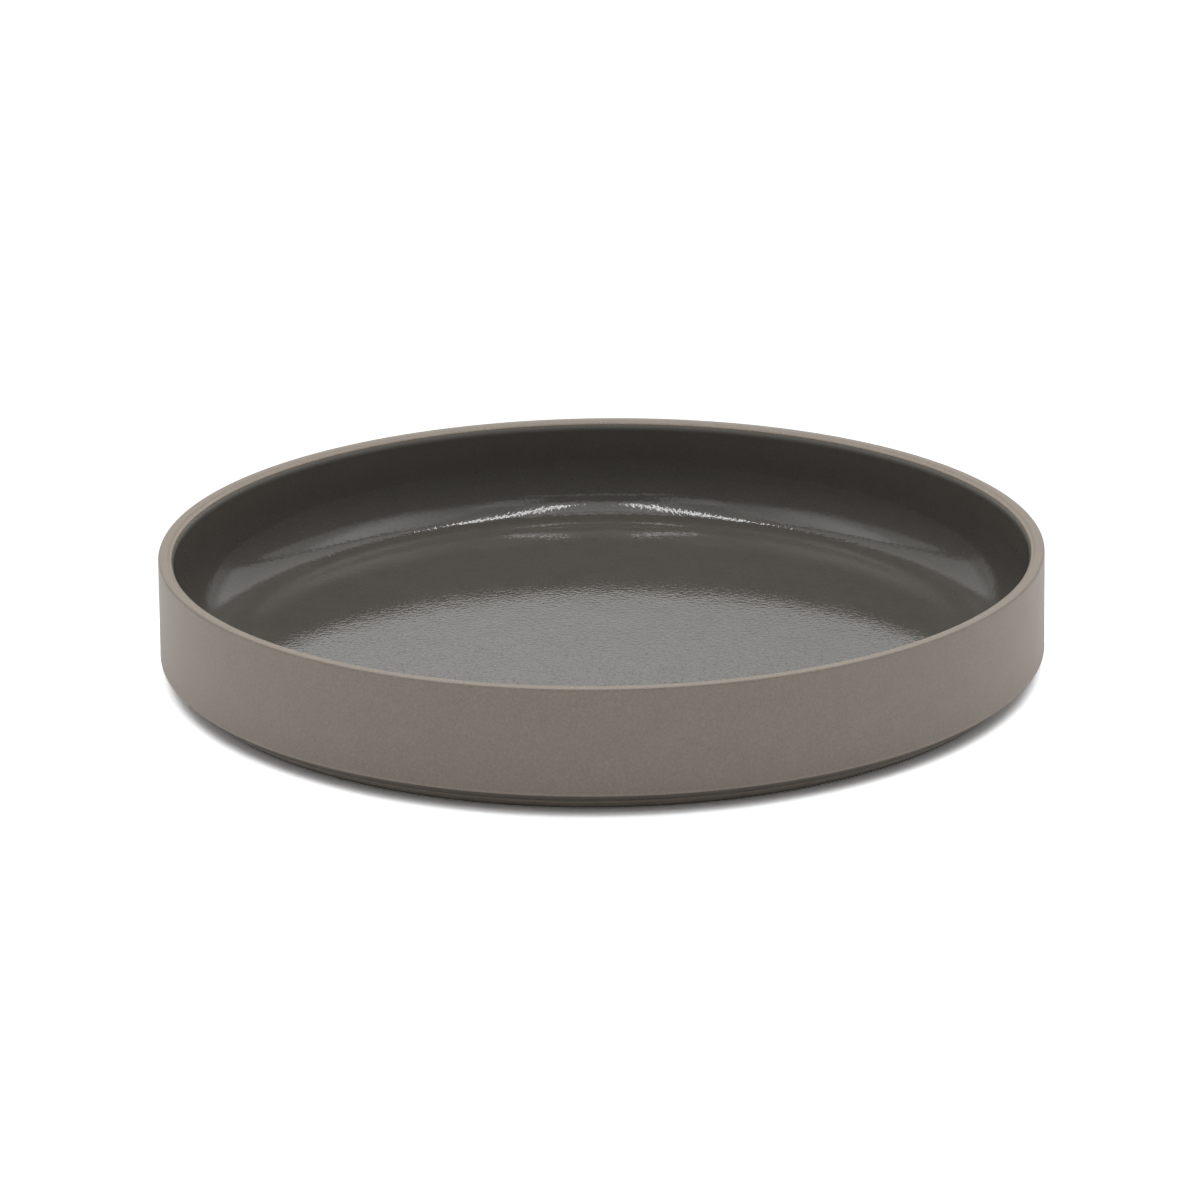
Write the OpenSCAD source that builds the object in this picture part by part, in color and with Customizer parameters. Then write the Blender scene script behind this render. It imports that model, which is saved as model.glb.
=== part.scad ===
// Low round bowl of thrown stoneware, bare outside and glazed inside.
// It stands on the table at z = 0, and its axis is the z axis.

/* [Wall] */
// Widest diameter, across the lower edge of the wall
bowl_d = 260; // [200:1:300]
// Height from the table to the top of the rim
bowl_h = 35.3; // [30:0.1:60]
// How far the wall leans in between its lower edge and the rim
wall_lean = 0.85; // [0:0.05:3]
// Thickness of the clay wall at the rim
wall_t = 4; // [3:0.1:6]
// Radius of the rim's outer edge
rim_round = 0.7; // [0.3:0.1:1.6]
// Radius of the rim's inner edge
lip_round = 0.65; // [0.2:0.05:0.75]

/* [Foot] */
// Height of the bevel that undercuts the wall
bevel_h = 5.75; // [3:0.25:8]
// Width of that bevel, seen from below
bevel_w = 6.7; // [3:0.1:9]
// Radius of the edge between the wall and the bevel
edge_round = 0.35; // [0.1:0.05:1]
// Width of the ring that the bowl stands on
ring_w = 10.5; // [6:0.5:25]
// Radius of the ring's outer edge
foot_round = 0.7; // [0.2:0.1:1.5]
// Radius of the ring's inner edge
ring_round = 0.6; // [0.2:0.1:0.7]
// Depth of the hollow inside the ring
recess_h = 1.4; // [1:0.1:2.5]
// Radius of the corner in that hollow
recess_fillet = 0.7; // [0.2:0.1:0.7]

/* [Inside] */
// Thickness of the clay floor
floor_t = 3.4; // [3:0.1:6]
// Radius of the wide fillet between the clay floor and the clay wall
clay_fillet = 18.25; // [3:0.25:20]

/* [Glaze] */
// Thickness of the glaze on the wall and the floor
glaze_t = 0.35; // [0.2:0.05:0.8]
// How much rounder the glaze is than the clay in the corner, where it pools
glaze_pool = 0.25; // [0:0.05:2]
// Height of the bare clay between the glaze and the top of the rim
glaze_drop = 0.8; // [0.8:0.1:4]
// Radius of the glaze's upper edge
glaze_round = 0.3; // [0.1:0.05:0.3]

/* [Hidden] */
$fn = 180;

edge_r = bowl_d / 2;
rim_r = edge_r - wall_lean;
inner_r = rim_r - wall_t;
foot_r = edge_r - bevel_w;
ring_r = foot_r - ring_w;
floor_z = recess_h + floor_t;
glaze_r = inner_r - glaze_t;
glaze_z = floor_z + glaze_t;
glaze_top_z = bowl_h - glaze_drop;
glaze_fillet = clay_fillet + glaze_pool;
// How far a cut runs past the face that it starts from
overrun = 1;

// The corners of a section run anticlockwise, each as [radius, height, rounding].
body_corners = [
    [0, recess_h, 0],
    [ring_r, recess_h, recess_fillet],
    [ring_r, 0, ring_round],
    [foot_r, 0, foot_round],
    [edge_r, bevel_h, edge_round],
    [rim_r, bowl_h, rim_round],
    [inner_r, bowl_h, lip_round],
    [inner_r, floor_z, clay_fillet],
    [0, floor_z, 0]
];

// The part of the clay's hollow that the glaze lines
lined_corners = [
    [0, floor_z, 0],
    [inner_r, floor_z, clay_fillet],
    [inner_r, glaze_top_z, 0],
    [0, glaze_top_z, 0]
];

// What stays open inside the glaze, flared where the glaze ends in a rounded edge
open_corners = [
    [0, glaze_z, 0],
    [glaze_r, glaze_z, glaze_fillet],
    [glaze_r, glaze_top_z, glaze_round],
    [inner_r + overrun, glaze_top_z, 0],
    [inner_r + overrun, glaze_top_z + overrun, 0],
    [0, glaze_top_z + overrun, 0]
];

function place(corner) = [corner.x, corner.y];
function before(corners, i) = place(corners[(i + len(corners) - 1) % len(corners)]);
function after(corners, i) = place(corners[(i + 1) % len(corners)]);
function unit(v) = v / norm(v);

// Half the angle inside corner b, between its neighbours a and c
function half_angle(a, b, c) = acos(unit(a - b) * unit(c - b)) / 2;

// Where a rounding of radius r at corner b leaves the side towards a
function tangent_point(a, b, c, r) = b + unit(a - b) * r / tan(half_angle(a, b, c));

// The centre of that rounding, on the line that halves the corner
function round_centre(a, b, c, r) = b + unit(unit(a - b) + unit(c - b)) * r / sin(half_angle(a, b, c));

// A corner sticks out where the outline turns left, and is a fillet where it turns right.
function sticks_out(a, b, c) = cross(b - a, c - b) > 0;

// The outline's points, with each rounded corner cut straight across
function cut_corner(a, b, c, r) =
    r > 0 ? [tangent_point(a, b, c, r), tangent_point(c, b, a, r)] : [b];

// The part of a full circle that lies in each rounded corner, beyond the straight cut across it,
// either for the corners that stick out or for those that don't
module corner_circles(corners, outward) {
    for (i = [0 : len(corners) - 1]) {
        a = before(corners, i);
        b = place(corners[i]);
        c = after(corners, i);
        r = corners[i].z;
        if (r > 0 && sticks_out(a, b, c) == outward)
            intersection() {
                translate(round_centre(a, b, c, r)) circle(r);
                polygon([tangent_point(a, b, c, r), b, tangent_point(c, b, a, r)]);
            }
    }
}

// A section with true arcs: outer roundings are added and fillets are cut.
module turned_section(corners) {
    difference() {
        union() {
            polygon([
                for (i = [0 : len(corners) - 1])
                    each cut_corner(before(corners, i), place(corners[i]), after(corners, i), corners[i].z)
            ]);
            corner_circles(corners, true);
        }
        corner_circles(corners, false);
    }
}

// The clay: leaning wall, bevel, foot ring and flat floor, turned in one piece
module stoneware_body() {
    color([0.62, 0.57, 0.52]) rotate_extrude() turned_section(body_corners);
}

// The glaze: a skin that lies on the clay floor, fillet and wall, and ends below the rim
module inner_glaze() {
    color([0.2, 0.19, 0.17]) rotate_extrude() difference() {
        turned_section(lined_corners);
        turned_section(open_corners);
    }
}

stoneware_body();
inner_glaze();
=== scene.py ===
"""The looks of a low stoneware bowl: bare clay outside, glossy dark glaze inside.

Both pieces are surfaces of revolution. Each is one closed section, with true arcs at its
corners, turned about the z axis, and pushed in along its normals by the tool's and the glaze's
fine relief. All lengths are metres, and the boxes of the pieces in model.glb give the bowl's
main sizes.
"""

import math
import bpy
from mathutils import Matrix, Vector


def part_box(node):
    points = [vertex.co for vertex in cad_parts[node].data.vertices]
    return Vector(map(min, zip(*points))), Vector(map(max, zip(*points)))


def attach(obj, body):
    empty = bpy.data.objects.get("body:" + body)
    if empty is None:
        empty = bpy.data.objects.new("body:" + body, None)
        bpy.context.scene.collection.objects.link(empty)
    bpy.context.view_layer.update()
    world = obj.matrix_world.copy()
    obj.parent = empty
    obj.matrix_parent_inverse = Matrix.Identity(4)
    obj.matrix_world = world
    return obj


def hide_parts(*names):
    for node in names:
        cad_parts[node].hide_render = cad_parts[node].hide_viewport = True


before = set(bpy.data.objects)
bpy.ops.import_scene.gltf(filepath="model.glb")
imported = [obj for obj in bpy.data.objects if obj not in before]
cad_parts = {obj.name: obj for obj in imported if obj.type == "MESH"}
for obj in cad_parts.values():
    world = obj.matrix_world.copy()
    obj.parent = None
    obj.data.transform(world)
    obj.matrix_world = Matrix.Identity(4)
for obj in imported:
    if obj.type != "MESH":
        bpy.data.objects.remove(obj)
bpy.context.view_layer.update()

from types import SimpleNamespace

import bpy
import numpy as np
from mathutils import Matrix, Vector

MM = 0.001

# The bowl's sizes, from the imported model
_, clay_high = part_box("stoneware_body")
coat_low, coat_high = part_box("inner_glaze")
EDGE_R = clay_high[0]
BOWL_H = clay_high[2]
INNER_R = coat_high[0]
FLOOR_Z = coat_low[2]

# The section's smaller sizes. The rim's inner rounding and the glaze's upper end are wider here
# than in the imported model.
WALL_T = 4.0 * MM
RIM_R = INNER_R + WALL_T
RIM_ROUND = 0.7 * MM
LIP_ROUND = 2.0 * MM
BEVEL_H = 5.75 * MM
BEVEL_W = 6.7 * MM
EDGE_ROUND = 0.35 * MM
RING_W = 10.5 * MM
FOOT_ROUND = 0.7 * MM
RING_ROUND = 0.6 * MM
RECESS_H = 1.4 * MM
RECESS_FILLET = 0.7 * MM
CLAY_FILLET = 18.25 * MM
GLAZE_T = 0.35 * MM
GLAZE_FILLET = 18.5 * MM
GLAZE_SLOPE = 1.1 * MM
GLAZE_ROUND = 3.0 * MM

FOOT_R = EDGE_R - BEVEL_W
RING_R = FOOT_R - RING_W
GLAZE_R = INNER_R - GLAZE_T
GLAZE_Z = FLOOR_Z + GLAZE_T

# The glaze ends on the rim's inner rounding, this angle down it from the top. Its back follows
# that arc through the other angles, which run up from the arc's lower end.
GLAZE_END = 63
GLAZE_BACK = (90, 81, 72)

# How finely the sections are divided
SEGMENTS = 384
CLAY_ARC_STEPS = 10
GLAZE_ARC_STEPS = 24

# The tool's marks in the clay and the waves in the glaze: how far apart and how deep
GROOVE_SPACING = 1.15 * MM
GROOVE_DEPTH = 0.016 * MM
RECESS_SPACING = 2.6 * MM
RECESS_DEPTH = 0.04 * MM
RECESS_MARGIN = 1.5 * MM
WALL_SPACING = 4.3 * MM
WALL_DEPTH = 0.012 * MM
WAVE_ACROSS = 21 * MM
WAVE_UP = 9 * MM
WAVE_DEPTH = 0.01 * MM

# The heights between which the bevel and the wall have marks, and how softly the marks end
GROOVE_SPAN = (0.25 * MM, BEVEL_H - 0.3 * MM, 0.4 * MM)
WALL_SPAN = (BEVEL_H + 0.6 * MM, BOWL_H - 1.6 * MM, 2 * MM)

# A point this close to a surface counts as on it.
TOLERANCE = 0.05 * MM

# The clay: its colour, its grain, and factors on its colour that paint light and shade: painted
# shade down the bevel, darkest at the foot, a painted highlight on the edge above the bevel, and
# painted light on the rim's flat top and inner rounding. Here and below, an edge is the place
# where it lies and how soft it is, and a minus softness ends what lies before it.
CLAY_COLOUR = (0.369, 0.318, 0.266)
CLAY_GRAIN = {
    "Grain_per_Metre": 1700,
    "Grain_Contrast": 0.65,
    "Blotch_per_Metre": 150,
    "Blotch_Contrast": 0.1,
    "Speck_Share": 0.12,
    "Roughness": 0.52,
}
CLAY_BUMP = 0.04 * MM
RIM_TOP_PAINTED_LIGHT = 1.1
LIP_PAINTED_LIGHT = 1.65
BEVEL_PAINTED_SHADE = 0.41
FOOT_PAINTED_SHADE = 0.01
ARRIS_PAINTED_HIGHLIGHT = 0.16
FOOT_TOP = 0.2 * MM
BEVEL_BLEND = 0.15 * MM
ARRIS_HIGHLIGHT_EDGES = ((BEVEL_H + 0.15 * MM, 0.1 * MM), (BEVEL_H + 0.6 * MM, -0.2 * MM))
LIP_HEIGHTS = (BOWL_H - 0.15 * MM, BOWL_H - 0.7 * MM)
LIP_OUTER_EDGE = (INNER_R + LIP_ROUND, -0.1 * MM)
RIM_LOWER_EDGE = (BOWL_H - 0.1 * MM, 0.05 * MM)

# The glaze: its colour, its grain, the paler upper wall, a painted reflection that lightens the
# corner, and the colours that it thins and breaks to
GLAZE_COLOUR = (0.12, 0.111, 0.097)
GLAZE_GRAIN = {
    "Grain_per_Metre": 1500,
    "Grain_Contrast": 0.4,
    "Blotch_per_Metre": 90,
    "Blotch_Contrast": 0.2,
    "Speck_Share": 0.05,
    "Roughness": 0.07,
}
GLAZE_BUMP = 0.04 * MM
GLAZE_IOR = 1.5
WALL_SHADE = 1.3
WALL_HEIGHTS = (18 * MM, 30 * MM)
CORNER_PAINTED_REFLECTION = 1.1
CORNER_REFLECTION_EDGES = ((101 * MM, 5 * MM), (115 * MM, -3 * MM))
THIN_COLOUR = (0.29, 0.275, 0.25)
THIN_ROUGHNESS = 0.2
BREAK_COLOUR = (0.2, 0.14, 0.09)
BREAK_ROUGHNESS = 0.25
EDGE_WANDER = 0.3 * MM
WANDER_PER_METRE = 260

# The grain of both: where its noise is above these values, it has pale specks.
SPECK_COLOUR = (0.62, 0.58, 0.52)
SPECKS_PER_METRE = 900
SPECK_NOISE = (0.8, 0.85)
GRAIN_ROUGHNESS = 0.6

# The floor paper: how much of its light it gives back, how bright a gloss mirrors it, how bright
# the camera sees it in the open and behind the bowl, and how far a painted shadow darkens it in
# under the bevel
FLOOR_HALF = 4.0
FLOOR_COLOUR = 0.85
FLOOR_MIRRORED = 1.7
FLOOR_SEEN = (3.25, 3.3, 3.37)
FLOOR_SEEN_BEHIND = 1.3
BEHIND_FROM = (0.0, 0.06)
BEHIND_FADE = (0.4, 0.6, 1.0, 0.0)
UNDER_BEVEL_PAINTED_SHADOW = 0.42
CONTACT_R = 125.2 * MM

# The studio that the glaze mirrors, as forms of light round the bowl. Overhead they are drawn on
# the plane z = 1, in across = |x| / z and back = y / z, and near the horizon in turn = |x| / y.
# A fade or rise of four numbers goes from one place to another and between two levels.
DIM = 0.13
LEAST_Z = 0.02
LEAST_Y = 0.05

# The backdrop lies beyond a shallow V overhead. Ahead it is bright up to a low top, and again
# overhead, and its sides are parted from that by a dark gap.
BACKDROP_SLOPE = 0.55
BACKDROP_EDGE = (0.33, 0.03)
BACKDROP_SPREAD = 0.9
BACKDROP_ROUND = (0.0, 0.06)
AHEAD_RISE = (0.3, 0.35, 0.5, 1.2)
AHEAD_FADE = (-0.02, 0.06, 1.0, 0.89)
AHEAD_TOP = (0.38, 0.02)
AHEAD_TURN = (0.17, 0.04)
GAP_TOP = (0.7, -0.05)
SIDES_TURN = (0.43, 0.06)
SIDES_RISE = (0.31, 0.38)
SIDES_LOW = 0.3
SIDES_FADE = (-0.05, 0.05, 0.66, 0.8)

# Two soft panels overhead, each brightest round a middle of its own
PANEL_BACK = (0.27, -0.03)
PANEL_INNER = (0.33, 0.04)
PANEL_OUTER = (0.93, -0.16)
PANEL_OUTER_SLOPE = 0.55
PANEL_FRONT = (-0.42, 0.14)
PANEL_FRONT_SLOPE = 0.4
PANEL_LEVEL = 0.65
GLOWS = (((-0.62, 0.36), 1.0), ((0.6, 0.34), 1.15))
GLOW_REACH = (0.26, 0.46)
GLOW_EDGE = (0.75, -0.6)

# The ceiling between them, a window's frame and bar towards the front, the glow between the
# strip lamps' far ends, and the lit holders at their near ends
CEILING_ACROSS = (0.36, -0.06)
CEILING_BACK = (-0.16, 0.04)
CEILING_FADE = (0.1, 0.22, 1.35, 0.6)
FRAME_ACROSS = ((0.38, -0.05), (0.2, 0.03))
FRAME_BACK = ((-0.12, -0.03), (-0.36, 0.06))
FRAME_LEVEL = 0.9
BAR_ACROSS = (0.28, -0.08)
BAR_BACK = ((-0.45, -0.02), (-0.51, 0.02))
BAR_LEVEL = 0.9
LINK_MIDDLE = (0.0, 0.36)
LINK_REACH = (0.16, 0.14)
LINK_EDGE = (0.8, -0.5)
LINK_LEVEL = 0.35
HOLDER_WIDTH = (0.024, -0.012)
HOLDER_BACK = (-0.06, 0.06)
HOLDER_END = -0.01
HOLDER_LEVEL = 3.0

# Two strip lamps overhead: their height, and the rest in shares of it
STRIP_HEIGHT = 1.6
STRIP_GAP = 0.085
STRIP_SPLAY = 0.16
STRIP_BACK_FROM = 0.02
STRIP_BACK_TO = 1.0
STRIP_WIDTH = 0.065
STRIP_RADIANCE = 11

# Wide soft lamps behind the camera and at both sides, kept out of what the glaze mirrors
FILL_PLACE = (0, -1.15, 1.1)
FILL_SIZE = (2.4, 0.8)
FILL_RADIANCE = 0.4
SIDE_PLACE = (1.35, 0.15, 0.72)
SIDE_SIZE = (1.2, 0.6)
SIDE_RADIANCE = 0.72

# The camera of the photograph, seen from the centre of the bowl's foot
CAMERA_DISTANCE = 1.0383
CAMERA_ELEVATION = math.radians(19.560)
CAMERA_PITCH = math.radians(18.730)
CAMERA_YAW = math.radians(-0.032)
CAMERA_ROLL = math.radians(-0.655)
LENS_MM = 105
SENSOR_MM = 36


def on_lip_arc(degrees):
    """The point of the rim's inner rounding that lies an angle down it from the top.

    The arc's centre is one rounding out from the wall and one down from the top, so the point is
    sin(angle) of it back towards the wall and cos(angle) of it up.
    """
    angle = math.radians(degrees)
    return INNER_R + LIP_ROUND * (1 - math.sin(angle)), BOWL_H - LIP_ROUND * (1 - math.cos(angle))


END_R, END_Z = on_lip_arc(GLAZE_END)

# Over these heights the glaze thins, and then it breaks to brown.
THIN_HEIGHTS = (END_Z - 2.3 * MM, END_Z - 0.5 * MM)
BREAK_HEIGHTS = (END_Z - 0.2 * MM, END_Z + 0.1 * MM)


def arc_points(a, b, c, r, steps):
    """The arc that rounds corner b between its neighbours a and c.

    Its centre lies on the line that halves the corner, r over the sine of half the angle from b,
    and its points turn evenly from the side towards a to the side towards c.
    """
    u = (a - b) / np.linalg.norm(a - b)
    v = (c - b) / np.linalg.norm(c - b)
    half = math.acos(float(u @ v)) / 2
    centre = b + (u + v) / np.linalg.norm(u + v) * r / math.sin(half)
    start = b + u * r / math.tan(half) - centre
    end = b + v * r / math.tan(half) - centre
    turn = math.atan2(start[0] * end[1] - start[1] * end[0], float(start @ end))
    t = np.linspace(0, turn, steps + 1)[:, None]
    across = np.array([-start[1], start[0]])
    return centre + np.cos(t) * start + np.sin(t) * across


def section(corners, arc_steps):
    """A section's outline as rows of radius and height.

    Each corner is (radius, height, rounding, spacing), and the straight side that follows it is
    divided into steps no longer than the spacing.
    """
    points = [np.array(c[:2], float) for c in corners]
    ends = []
    for i, (_, _, r, _) in enumerate(corners):
        after = points[(i + 1) % len(points)]
        if r > 0:
            ends.append(arc_points(points[i - 1], points[i], after, r, arc_steps))
        else:
            ends.append(points[i][None, :])
    rows = []
    for i, (_, _, _, spacing) in enumerate(corners):
        rows.append(ends[i])
        if i + 1 < len(corners):
            a, b = ends[i][-1], ends[i + 1][0]
            n = max(1, math.ceil(np.linalg.norm(b - a) / spacing))
            rows.append(a + (b - a) * np.linspace(0, 1, n + 1)[1:-1, None])
    return np.concatenate(rows)


def outward_normals(profile):
    """The outline's normals: its direction turned a quarter turn to the right."""
    step = np.gradient(profile, axis=0)
    step /= np.linalg.norm(step, axis=1)[:, None]
    return np.stack([step[:, 1], -step[:, 0]], axis=1)


def revolve(name, profile, relief):
    """Turns a section about the z axis into a closed mesh.

    The point at section row i and angle t lies at (r cos t, r sin t, z), with r and z first moved
    along the section's normal by relief(r, z, t). The first and last rows are on the axis, and
    each is one point.
    """
    angle = np.arange(SEGMENTS) * (2 * np.pi / SEGMENTS)
    r, z = (profile[1:-1, k][:, None] for k in (0, 1))
    normals = outward_normals(profile)[1:-1]
    depth = relief(r, z, angle[None, :])
    rr = r + normals[:, 0][:, None] * depth
    zz = z + normals[:, 1][:, None] * depth
    grid = np.stack([rr * np.cos(angle), rr * np.sin(angle), zz], axis=-1)
    rows, around = grid.shape[:2]
    poles = np.array([[0, 0, profile[0, 1]], [0, 0, profile[-1, 1]]])
    verts = np.concatenate([grid.reshape(-1, 3), poles])

    k = np.arange(rows * around).reshape(rows, around)
    nxt = np.roll(k, -1, axis=1)
    quads = np.stack([k[:-1], nxt[:-1], nxt[1:], k[1:]], axis=-1).reshape(-1, 4)
    first, last = rows * around, rows * around + 1
    caps = np.concatenate([
        np.stack([np.full(around, first), nxt[0], k[0]], axis=-1),
        np.stack([np.full(around, last), k[-1], nxt[-1]], axis=-1),
    ])
    mesh = bpy.data.meshes.new(name)
    mesh.from_pydata(verts.tolist(), [], quads.tolist() + caps.tolist())
    mesh.polygons.foreach_set("use_smooth", np.ones(len(mesh.polygons), bool))
    mesh.update()
    piece = bpy.data.objects.new(name, mesh)
    bpy.context.collection.objects.link(piece)
    return piece


def window(x, low, high, soft):
    """1 between low and high, falling smoothly to 0 over the last soft metres at each end."""
    t = np.clip(np.minimum(x - low, high - x) / soft, 0, 1)
    return t * t * (3 - 2 * t)


def rings(place, spacing, drift):
    """Even rings from 0 to 1: a cosine along a radius or a height, its phase moved by a drift."""
    return 0.5 + 0.5 * np.cos(2 * np.pi * place / spacing + drift)


def clay_relief(r, z, t):
    """How deep the tool's marks are cut into the clay, never above its true surface.

    On the bevel they are fine grooves, a sum of two cosines of radius less height, whose phases
    drift slowly with the angle. Under the floor and on the wall they are long, shallow rings.
    """
    phase = 2 * np.pi * (r - z) / GROOVE_SPACING
    drift = 0.5 * np.sin(t + 0.4) + 0.3 * np.sin(3 * t)
    grooves = 0.5 + 0.3 * np.cos(phase + drift) + 0.2 * np.cos(2.2 * phase - drift)
    on_bevel = window(z, *GROOVE_SPAN) * (r > FOOT_R - FOOT_ROUND)
    in_recess = (z < RECESS_H + TOLERANCE) & (r < RING_R - RECESS_MARGIN)
    on_wall = window(z, *WALL_SPAN) * (r > INNER_R + 1 * MM)
    depth = GROOVE_DEPTH * grooves * on_bevel
    depth = depth + RECESS_DEPTH * rings(r, RECESS_SPACING, t) * in_recess
    depth = depth + WALL_DEPTH * rings(z, WALL_SPACING, 0.8 * np.sin(t)) * on_wall
    return -depth


def glaze_relief(r, z, t):
    """How far the glaze lies below its nominal surface: slow waves left by the turned clay.

    A wave is half of one plus a cosine of the radius times a cosine of the height. Only the side
    that shows moves, so the glaze's back stays on the clay.
    """
    front = (r < GLAZE_R + TOLERANCE) & (z > GLAZE_Z - TOLERANCE)
    across = np.cos(2 * np.pi * r / WAVE_ACROSS + 0.6 * np.sin(2 * t))
    wave = 0.5 + 0.5 * across * np.cos(2 * np.pi * z / WAVE_UP)
    return -WAVE_DEPTH * wave * front


def build_clay():
    """The fired clay: wall, rim, bevel, foot ring and floor as one turned body."""
    corners = [
        (0, RECESS_H, 0, 1.3 * MM),
        (RING_R, RECESS_H, RECESS_FILLET, 0.5 * MM),
        (RING_R, 0, RING_ROUND, 1.5 * MM),
        (FOOT_R, 0, FOOT_ROUND, 0.2 * MM),
        (EDGE_R, BEVEL_H, EDGE_ROUND, 1 * MM),
        (RIM_R, BOWL_H, RIM_ROUND, 1 * MM),
        (INNER_R, BOWL_H, LIP_ROUND, 3 * MM),
        (INNER_R, FLOOR_Z, CLAY_FILLET, 12 * MM),
        (0, FLOOR_Z, 0, 1 * MM),
    ]
    return revolve("clay_body", section(corners, CLAY_ARC_STEPS), clay_relief)


def build_glaze():
    """The glaze: a closed skin on the clay's floor, corner and wall.

    It thins out on the rim's inner rounding, which its back follows from point to point.
    """
    corners = [
        (0, FLOOR_Z, 0, 12 * MM),
        (INNER_R, FLOOR_Z, CLAY_FILLET, 4 * MM),
        *((*on_lip_arc(degrees), 0, 1 * MM) for degrees in GLAZE_BACK),
        (END_R, END_Z, 0, 0.2 * MM),
        (GLAZE_R, END_Z - GLAZE_SLOPE, GLAZE_ROUND, 0.8 * MM),
        (GLAZE_R, GLAZE_Z, GLAZE_FILLET, 1.4 * MM),
        (0, GLAZE_Z, 0, 1 * MM),
    ]
    return revolve("glaze_lining", section(corners, GLAZE_ARC_STEPS), glaze_relief)


def add_socket(group, name, kind, in_out, value=None):
    """A named socket on a node group, with its default value."""
    socket = group.interface.new_socket(name=name, in_out=in_out, socket_type=kind)
    if value is not None:
        socket.default_value = value


def link(tree, source, target):
    """Joins a node's output to another's input."""
    tree.links.new(source, target)


def fill_socket(tree, socket, value):
    """Gives an input a plain number or links it to an output."""
    if isinstance(value, (int, float)):
        socket.default_value = value
    else:
        link(tree, value, socket)


def math_node(tree, operation, *values):
    """A Math node on one or two values or sockets, and its result."""
    node = tree.nodes.new("ShaderNodeMath")
    node.operation = operation
    for socket, value in zip(node.inputs, values):
        fill_socket(tree, socket, value)
    return node.outputs[0]


def product(tree, *factors):
    """All of the factors multiplied together."""
    result = factors[0]
    for factor in factors[1:]:
        result = math_node(tree, "MULTIPLY", result, factor)
    return result


def total(tree, *terms):
    """All of the terms added together."""
    result = terms[0]
    for term in terms[1:]:
        result = math_node(tree, "ADD", result, term)
    return result


def difference(tree, a, b):
    """One value less another."""
    return math_node(tree, "SUBTRACT", a, b)


def ratio(tree, a, b):
    """One value over another."""
    return math_node(tree, "DIVIDE", a, b)


def remap(tree, value, low, high, to_low=0.0, to_high=1.0, smooth=False):
    """A value stretched from one range to another and held inside it."""
    node = tree.nodes.new("ShaderNodeMapRange")
    node.interpolation_type = "SMOOTHSTEP" if smooth else "LINEAR"
    link(tree, value, node.inputs["Value"])
    numbers = {"From Min": low, "From Max": high, "To Min": to_low, "To Max": to_high}
    for name, number in numbers.items():
        fill_socket(tree, node.inputs[name], number)
    return node.outputs["Result"]


def soft_step(tree, value, edge, soft):
    """0 below an edge and 1 above it, smooth over soft on each side. A minus soft falls instead."""
    return remap(tree, value, edge - soft, edge + soft, smooth=True)


def between(tree, value, *edges):
    """A mask of one value with several soft edges, each given as (edge, soft)."""
    return product(tree, *[soft_step(tree, value, *edge) for edge in edges])


def from_middle(tree, a, b, middle, reach):
    """How far (a, b) is from a middle, as a share of the reach along each of the two."""
    parts = []
    for value, centre, size in zip((a, b), middle, reach):
        offset = ratio(tree, difference(tree, value, centre), size)
        parts.append(math_node(tree, "POWER", math_node(tree, "ABSOLUTE", offset), 2))
    return math_node(tree, "SQRT", total(tree, *parts))


def mix_colours(tree, factor, a, b):
    """A colour between a and b, either of which may be a socket or a plain colour."""
    node = tree.nodes.new("ShaderNodeMix")
    node.data_type = "RGBA"
    sockets = {s.identifier: s for s in node.inputs}
    fill_socket(tree, sockets["Factor_Float"], factor)
    for name, colour in (("A_Color", a), ("B_Color", b)):
        if isinstance(colour, tuple):
            sockets[name].default_value = (*colour, 1)
        else:
            link(tree, colour, sockets[name])
    return next(s for s in node.outputs if s.identifier == "Result_Color")


def scale_colour(tree, colour, factor):
    """A colour made lighter or darker by a factor."""
    node = tree.nodes.new("ShaderNodeVectorMath")
    node.operation = "SCALE"
    link(tree, colour, node.inputs[0])
    link(tree, factor, node.inputs["Scale"])
    return node.outputs["Vector"]


def own_place(tree):
    """The place of a point in its own object, which is its place in the frame."""
    return tree.nodes.new("ShaderNodeTexCoord").outputs["Object"]


def split_place(tree, place):
    """The x, y and z of a place."""
    split = tree.nodes.new("ShaderNodeSeparateXYZ")
    link(tree, place, split.inputs[0])
    return split.outputs


def distance_from_axis(tree):
    """How far a point is from the bowl's axis: the length of its place with z left out."""
    flat = tree.nodes.new("ShaderNodeVectorMath")
    flat.operation = "MULTIPLY"
    link(tree, own_place(tree), flat.inputs[0])
    flat.inputs[1].default_value = (1, 1, 0)
    length = tree.nodes.new("ShaderNodeVectorMath")
    length.operation = "LENGTH"
    link(tree, flat.outputs["Vector"], length.inputs[0])
    return length.outputs["Value"]


def noise(tree, vector, scale, detail, roughness=0.5):
    """A noise texture at a scale in cycles a metre, and its value."""
    node = tree.nodes.new("ShaderNodeTexNoise")
    link(tree, vector, node.inputs["Vector"])
    node.inputs["Detail"].default_value = detail
    node.inputs["Roughness"].default_value = roughness
    fill_socket(tree, node.inputs["Scale"], scale)
    return node.outputs["Fac"]


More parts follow.
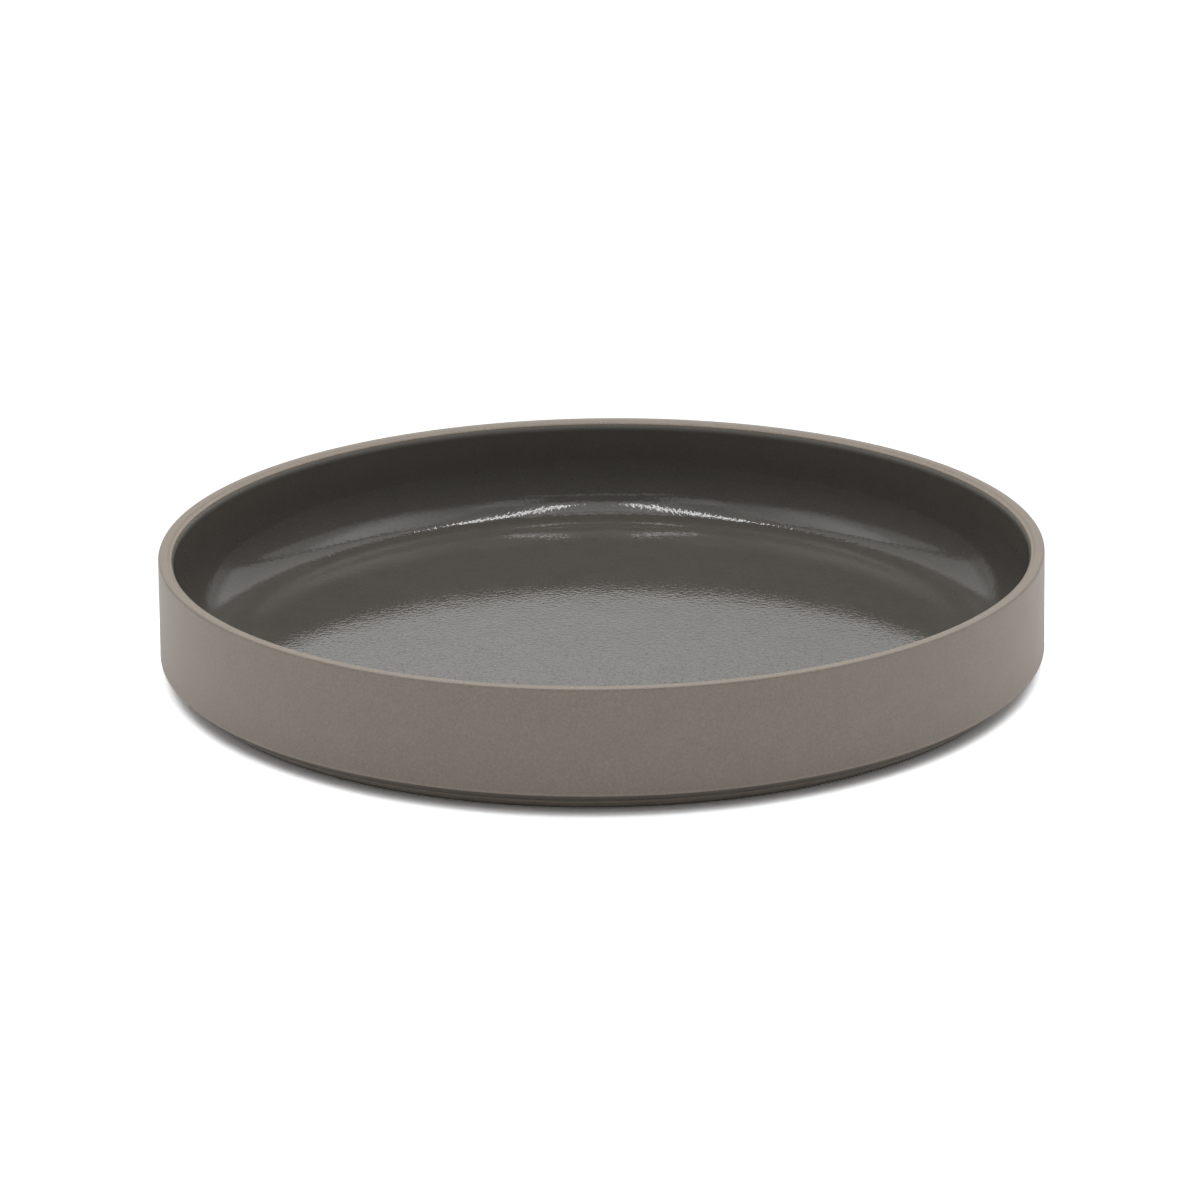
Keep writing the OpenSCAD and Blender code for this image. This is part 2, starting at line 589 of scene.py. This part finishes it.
def grain_group():
    """Fine fired grain: a colour, a roughness and a height from three sizes of noise.

    The finest noise is the grain, a middle one blotches the colour, and a thresholded one
    scatters rare pale specks. Colour times (1 + grain + blotch), each about zero and times its
    contrast, gives the shade.
    """
    group = bpy.data.node_groups.new("fired_grain", "ShaderNodeTree")
    add_socket(group, "Colour", "NodeSocketColor", "INPUT", (0.3, 0.3, 0.3, 1))
    add_socket(group, "Grain per Metre", "NodeSocketFloat", "INPUT", 2600)
    add_socket(group, "Grain Contrast", "NodeSocketFloat", "INPUT", 0.1)
    add_socket(group, "Blotch per Metre", "NodeSocketFloat", "INPUT", 160)
    add_socket(group, "Blotch Contrast", "NodeSocketFloat", "INPUT", 0.05)
    add_socket(group, "Speck Share", "NodeSocketFloat", "INPUT", 0.3)
    add_socket(group, "Roughness", "NodeSocketFloat", "INPUT", 0.8)
    add_socket(group, "Colour", "NodeSocketColor", "OUTPUT")
    add_socket(group, "Roughness", "NodeSocketFloat", "OUTPUT")
    add_socket(group, "Height", "NodeSocketFloat", "OUTPUT")
    inside = group.nodes.new("NodeGroupInput").outputs
    out = group.nodes.new("NodeGroupOutput").inputs
    place = own_place(group)
    fine = noise(group, place, inside["Grain per Metre"], 3, 0.6)
    blotch = noise(group, place, inside["Blotch per Metre"], 3, 0.55)
    specks = noise(group, place, SPECKS_PER_METRE, 0)
    fine_shade = product(group, difference(group, fine, 0.5), inside["Grain Contrast"])
    blotch_shade = product(group, difference(group, blotch, 0.5), inside["Blotch Contrast"])
    shade = total(group, fine_shade, blotch_shade, 1.0)
    shaded = scale_colour(group, inside["Colour"], shade)
    pale = product(group, remap(group, specks, *SPECK_NOISE), inside["Speck Share"])
    link(group, mix_colours(group, pale, shaded, SPECK_COLOUR), out["Colour"])
    rougher = product(group, fine_shade, GRAIN_ROUGHNESS)
    link(group, total(group, inside["Roughness"], rougher), out["Roughness"])
    link(group, fine, out["Height"])
    return group


def ripple_group():
    """A glaze's orange peel: fine ripples about a millimetre long over slower waves."""
    group = bpy.data.node_groups.new("glaze_ripple", "ShaderNodeTree")
    add_socket(group, "Ripple per Metre", "NodeSocketFloat", "INPUT", 750)
    add_socket(group, "Wave per Metre", "NodeSocketFloat", "INPUT", 90)
    add_socket(group, "Wave Share", "NodeSocketFloat", "INPUT", 1.0)
    add_socket(group, "Height", "NodeSocketFloat", "OUTPUT")
    inside = group.nodes.new("NodeGroupInput").outputs
    out = group.nodes.new("NodeGroupOutput").inputs
    place = own_place(group)
    ripple = noise(group, place, inside["Ripple per Metre"], 1)
    wave = noise(group, place, inside["Wave per Metre"], 1)
    slow = product(group, wave, inside["Wave Share"])
    link(group, total(group, ripple, slow), out["Height"])
    return group


def new_material(name):
    """A material with a Principled shader, and its tree."""
    material = bpy.data.materials.new(name)
    material.use_nodes = True
    tree = material.node_tree
    shader = next(n for n in tree.nodes if n.type == "BSDF_PRINCIPLED")
    return material, tree, shader


def place_group(tree, group, **values):
    """A copy of a shared group in a material, with its own numbers."""
    node = tree.nodes.new("ShaderNodeGroup")
    node.node_tree = group
    for name, value in values.items():
        node.inputs[name.replace("_", " ")].default_value = value
    return node


def bump(tree, height, distance):
    """A Bump node whose height is in units of distance, in metres."""
    node = tree.nodes.new("ShaderNodeBump")
    node.inputs["Strength"].default_value = 1
    node.inputs["Distance"].default_value = distance
    link(tree, height, node.inputs["Height"])
    return node.outputs["Normal"]


def clay_material(grain):
    """Bare taupe stoneware: matt, fine-grained, slightly blotched, with rare pale specks.

    A factor paints shade into the colour: painted shade that rises from the foot up the bevel and
    is 1 on the wall. Added to it are a painted highlight on the edge just above the bevel, and
    painted light on the rim's flat top and on the rim's inner rounding.
    """
    material, tree, shader = new_material("bare_stoneware")
    node = place_group(tree, grain, Colour=(*CLAY_COLOUR, 1), **CLAY_GRAIN)
    height = split_place(tree, own_place(tree))["Z"]
    # Painted shade: the bevel's colour darkens down towards the foot.
    bevel = remap(tree, height, FOOT_TOP, BEVEL_H, FOOT_PAINTED_SHADE, BEVEL_PAINTED_SHADE)
    foot = remap(tree, height, BEVEL_H - BEVEL_BLEND, BEVEL_H + BEVEL_BLEND, bevel, 1.0)
    # Painted highlight: a thin lighter band on the edge just above the bevel.
    on_arris_highlight = between(tree, height, *ARRIS_HIGHLIGHT_EDGES)
    # Painted light: the rim's inner rounding is made lighter.
    below_top = remap(tree, height, *LIP_HEIGHTS, smooth=True)
    inside = soft_step(tree, distance_from_axis(tree), *LIP_OUTER_EDGE)
    # Painted light: the rim's flat top is made lighter.
    on_top = soft_step(tree, height, *RIM_LOWER_EDGE)
    shade = total(
        tree,
        foot,
        product(tree, on_arris_highlight, ARRIS_PAINTED_HIGHLIGHT),
        product(tree, below_top, inside, LIP_PAINTED_LIGHT - 1),
        product(tree, on_top, RIM_TOP_PAINTED_LIGHT - 1),
    )
    link(tree, scale_colour(tree, node.outputs["Colour"], shade), shader.inputs["Base Color"])
    link(tree, node.outputs["Roughness"], shader.inputs["Roughness"])
    link(tree, bump(tree, node.outputs["Height"], CLAY_BUMP), shader.inputs["Normal"])
    return material


def glaze_material(grain, ripple):
    """Dark grey-brown gloss glaze, rippled, that breaks to brown where it thins at its edge.

    It is a little paler high on the wall, and a painted reflection lightens it in the corner. The
    heights at which it thins and breaks wander with a slow noise.
    """
    material, tree, shader = new_material("gloss_glaze")
    node = place_group(tree, grain, Colour=(*GLAZE_COLOUR, 1), **GLAZE_GRAIN)
    place = own_place(tree)
    wander = product(tree, noise(tree, place, WANDER_PER_METRE, 2), EDGE_WANDER)
    height = total(tree, split_place(tree, place)["Z"], wander)
    on_wall = remap(tree, height, *WALL_HEIGHTS, 0.0, WALL_SHADE - 1)
    # Painted reflection: the glaze is made lighter in the corner.
    in_corner = between(tree, distance_from_axis(tree), *CORNER_REFLECTION_EDGES)
    shade = total(tree, 1.0, on_wall, product(tree, in_corner, CORNER_PAINTED_REFLECTION - 1))
    thin = remap(tree, height, *THIN_HEIGHTS, smooth=True)
    edge = remap(tree, height, *BREAK_HEIGHTS)
    shaded = scale_colour(tree, node.outputs["Colour"], shade)
    colour = mix_colours(tree, thin, shaded, THIN_COLOUR)
    link(tree, mix_colours(tree, edge, colour, BREAK_COLOUR), shader.inputs["Base Color"])
    rougher = total(tree, product(tree, edge, BREAK_ROUGHNESS), product(tree, thin, THIN_ROUGHNESS))
    link(tree, total(tree, node.outputs["Roughness"], rougher), shader.inputs["Roughness"])
    shader.inputs["IOR"].default_value = GLAZE_IOR
    peel = place_group(tree, ripple)
    link(tree, bump(tree, peel.outputs["Height"], GLAZE_BUMP), shader.inputs["Normal"])
    return material


def floor_material():
    """Pale paper floor. The camera sees it lifted to white, and it keeps the bowl's shadow.

    Just behind the bowl it is lifted less, so that the far rim stays whole against it, and a
    painted shadow darkens it where the bevel overhangs it.
    """
    material, tree, shader = new_material("floor_paper")
    tree.nodes.remove(shader)
    out = next(n for n in tree.nodes if n.type == "OUTPUT_MATERIAL")
    diffuse = tree.nodes.new("ShaderNodeBsdfDiffuse")
    rays = tree.nodes.new("ShaderNodeLightPath").outputs
    mirrored = math_node(tree, "MAXIMUM", rays["Is Glossy Ray"], rays["Is Transmission Ray"])
    white = mix_colours(tree, mirrored, (FLOOR_COLOUR,) * 3, (FLOOR_MIRRORED,) * 3)
    from_axis = distance_from_axis(tree)
    back = remap(tree, split_place(tree, own_place(tree))["Y"], *BEHIND_FROM)
    behind = product(tree, back, remap(tree, from_axis, *BEHIND_FADE))
    lifted = mix_colours(tree, behind, FLOOR_SEEN, (FLOOR_SEEN_BEHIND,) * 3)
    # Painted shadow: the floor the camera sees darkens towards the foot, under the bevel.
    painted_contact_shadow = remap(tree, from_axis, CONTACT_R, EDGE_R, UNDER_BEVEL_PAINTED_SHADOW, 1.0, smooth=True)
    lifted = scale_colour(tree, lifted, painted_contact_shadow)
    seen = mix_colours(tree, rays["Is Camera Ray"], white, lifted)
    link(tree, seen, diffuse.inputs["Color"])
    link(tree, diffuse.outputs[0], out.inputs["Surface"])
    return material


def build_floor():
    """A plain square of floor, far larger than the view."""
    h = FLOOR_HALF
    mesh = bpy.data.meshes.new("floor")
    mesh.from_pydata([(-h, -h, 0), (h, -h, 0), (h, h, 0), (-h, h, 0)], [], [(0, 1, 2, 3)])
    floor = bpy.data.objects.new("floor", mesh)
    bpy.context.collection.objects.link(floor)
    mesh.materials.append(floor_material())


def sky_measures(tree):
    """The measures of a direction that the studio's forms are drawn in.

    Its z and y are held above a least value where they divide, so that the shares stay finite.
    """
    x, y, z = split_place(tree, tree.nodes.new("ShaderNodeTexCoord").outputs["Generated"])
    side = math_node(tree, "ABSOLUTE", x)
    height = math_node(tree, "MAXIMUM", z, LEAST_Z)
    across = ratio(tree, side, height)
    back = ratio(tree, y, height)
    return SimpleNamespace(
        x=x,
        y=y,
        z=z,
        side=side,
        across=across,
        signed_across=ratio(tree, x, height),
        back=back,
        turn=ratio(tree, side, math_node(tree, "MAXIMUM", y, LEAST_Y)),
        past_edge=difference(tree, back, product(tree, across, BACKDROP_SLOPE)),
    )


def backdrop_light(tree, sky):
    """The paper backdrop: a part ahead, with a dark gap cut out of it, and its two sides."""
    aside = soft_step(tree, sky.turn, *SIDES_TURN)
    above = soft_step(tree, sky.z, *AHEAD_TOP)
    beside = soft_step(tree, sky.turn, *AHEAD_TURN)
    gap = product(tree, math_node(tree, "MAXIMUM", above, beside), soft_step(tree, sky.z, *GAP_TOP))
    ahead = product(
        tree,
        remap(tree, sky.z, *AHEAD_RISE),
        remap(tree, sky.x, *AHEAD_FADE),
        difference(tree, 1.0, gap),
        difference(tree, 1.0, aside),
    )
    side_level = remap(tree, sky.x, *SIDES_FADE)
    sides = product(tree, aside, remap(tree, sky.z, *SIDES_RISE, SIDES_LOW, side_level))
    round_the_sides = difference(tree, sky.y, product(tree, sky.side, BACKDROP_SPREAD))
    return product(
        tree,
        soft_step(tree, sky.past_edge, *BACKDROP_EDGE),
        soft_step(tree, round_the_sides, *BACKDROP_ROUND),
        total(tree, ahead, sides),
    )


def panel_light(tree, sky):
    """The two soft panels: slanted at their outer and front edges, and brighter in the middle."""
    outer = difference(tree, sky.across, product(tree, sky.back, PANEL_OUTER_SLOPE))
    front = difference(tree, sky.back, product(tree, sky.across, PANEL_FRONT_SLOPE))
    glows = []
    for middle, level in GLOWS:
        away = from_middle(tree, sky.signed_across, sky.back, middle, GLOW_REACH)
        glows.append(product(tree, soft_step(tree, away, *GLOW_EDGE), level))
    return product(
        tree,
        soft_step(tree, sky.across, *PANEL_INNER),
        soft_step(tree, outer, *PANEL_OUTER),
        soft_step(tree, front, *PANEL_FRONT),
        soft_step(tree, sky.past_edge, *PANEL_BACK),
        total(tree, PANEL_LEVEL, *glows),
    )


def overhead_light(tree, sky):
    """The ceiling, the window's frame and bar, the glow between the strips and their holders."""
    ceiling = product(
        tree,
        soft_step(tree, sky.across, *CEILING_ACROSS),
        soft_step(tree, sky.past_edge, *PANEL_BACK),
        soft_step(tree, sky.back, *CEILING_BACK),
        remap(tree, sky.across, *CEILING_FADE),
    )
    frame_light = product(
        tree,
        between(tree, sky.across, *FRAME_ACROSS),
        between(tree, sky.back, *FRAME_BACK),
        FRAME_LEVEL,
    )
    bar = product(
        tree,
        soft_step(tree, sky.across, *BAR_ACROSS),
        between(tree, sky.back, *BAR_BACK),
        BAR_LEVEL,
    )
    away = from_middle(tree, sky.across, sky.back, LINK_MIDDLE, LINK_REACH)
    link_glow = product(tree, soft_step(tree, away, *LINK_EDGE), LINK_LEVEL)
    off_strip = total(tree, sky.across, -STRIP_GAP, product(tree, sky.back, -STRIP_SPLAY))
    holders = product(
        tree,
        soft_step(tree, math_node(tree, "ABSOLUTE", off_strip), *HOLDER_WIDTH),
        between(tree, sky.back, HOLDER_BACK, (STRIP_BACK_FROM, HOLDER_END)),
        HOLDER_LEVEL,
    )
    return total(tree, ceiling, frame_light, bar, link_glow, holders)


def build_world():
    """The studio round the bowl, as its glaze mirrors it.

    Each form is a smooth mask of the direction times its own brightness, and the forms add up.
    The camera sees plain white.
    """
    world = bpy.data.worlds.new("studio")
    bpy.context.scene.world = world
    world.use_nodes = True
    tree = world.node_tree
    shader = next(n for n in tree.nodes if n.type == "BACKGROUND")
    sky = sky_measures(tree)
    forms = (backdrop_light(tree, sky), panel_light(tree, sky), overhead_light(tree, sky))
    level = total(tree, *forms, DIM)
    seen = tree.nodes.new("ShaderNodeLightPath").outputs["Is Camera Ray"]
    shader.inputs["Color"].default_value = (1, 1, 1, 1)
    link(tree, math_node(tree, "MAXIMUM", level, seen), shader.inputs["Strength"])


def area_lamp(name, place, size, radiance):
    """A rectangular lamp of a given radiance, facing down."""
    light = bpy.data.lights.new(name, "AREA")
    light.shape = "RECTANGLE"
    light.size, light.size_y = size
    light.energy = radiance * math.pi * size[0] * size[1]
    lamp = bpy.data.objects.new(name, light)
    lamp.location = place
    bpy.context.collection.objects.link(lamp)
    return lamp


def soft_lamp(name, place, size, radiance):
    """A lamp that faces the bowl and lights it, but that its glaze doesn't mirror."""
    lamp = area_lamp(name, place, size, radiance)
    lamp.rotation_euler = (-Vector(place)).to_track_quat("-Z", "Y").to_euler()
    lamp.visible_glossy = False


def build_lamps():
    """Two long strip lamps overhead, splayed towards the back, and the soft lamps."""
    soft_lamp("front_fill", FILL_PLACE, FILL_SIZE, FILL_RADIANCE)
    middle = (STRIP_BACK_FROM + STRIP_BACK_TO) / 2
    length = (STRIP_BACK_TO - STRIP_BACK_FROM) * STRIP_HEIGHT
    out = (STRIP_GAP + STRIP_SPLAY * middle) * STRIP_HEIGHT
    for name, side in (("left", -1), ("right", 1)):
        soft_place = (side * SIDE_PLACE[0], *SIDE_PLACE[1:])
        soft_lamp("side_" + name, soft_place, SIDE_SIZE, SIDE_RADIANCE)
        strip_place = (side * out, middle * STRIP_HEIGHT, STRIP_HEIGHT)
        strip = area_lamp("strip_" + name, strip_place, (STRIP_WIDTH, length), STRIP_RADIANCE)
        strip.rotation_euler = (0, 0, -side * math.atan(STRIP_SPLAY))


def build_camera():
    """The photograph's camera: its place on a sphere round the foot, and its pitch, yaw and roll."""
    data = bpy.data.cameras.new("camera")
    data.lens = LENS_MM
    data.sensor_width = SENSOR_MM
    camera = bpy.data.objects.new("camera", data)
    bpy.context.collection.objects.link(camera)
    away = Vector((0, -math.cos(CAMERA_ELEVATION), math.sin(CAMERA_ELEVATION)))
    ahead = Vector((
        math.sin(CAMERA_YAW) * math.cos(CAMERA_PITCH),
        math.cos(CAMERA_YAW) * math.cos(CAMERA_PITCH),
        -math.sin(CAMERA_PITCH),
    ))
    right = ahead.cross(Vector((0, 0, 1))).normalized()
    up = right.cross(ahead)
    c, s = math.cos(CAMERA_ROLL), math.sin(CAMERA_ROLL)
    rolled_right = c * right + s * up
    rolled_up = c * up - s * right
    turn = Matrix((rolled_right, rolled_up, -ahead)).transposed()
    camera.matrix_world = Matrix.Translation(CAMERA_DISTANCE * away) @ turn.to_4x4()
    bpy.context.scene.camera = camera


grain = grain_group()
ripple = ripple_group()

clay = build_clay()
clay.data.materials.append(clay_material(grain))
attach(clay, "root")
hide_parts("stoneware_body")

glaze = build_glaze()
glaze.data.materials.append(glaze_material(grain, ripple))
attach(glaze, "root")
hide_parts("inner_glaze")

build_floor()
build_world()
build_lamps()
build_camera()
bpy.context.scene.view_settings.view_transform = "Standard"
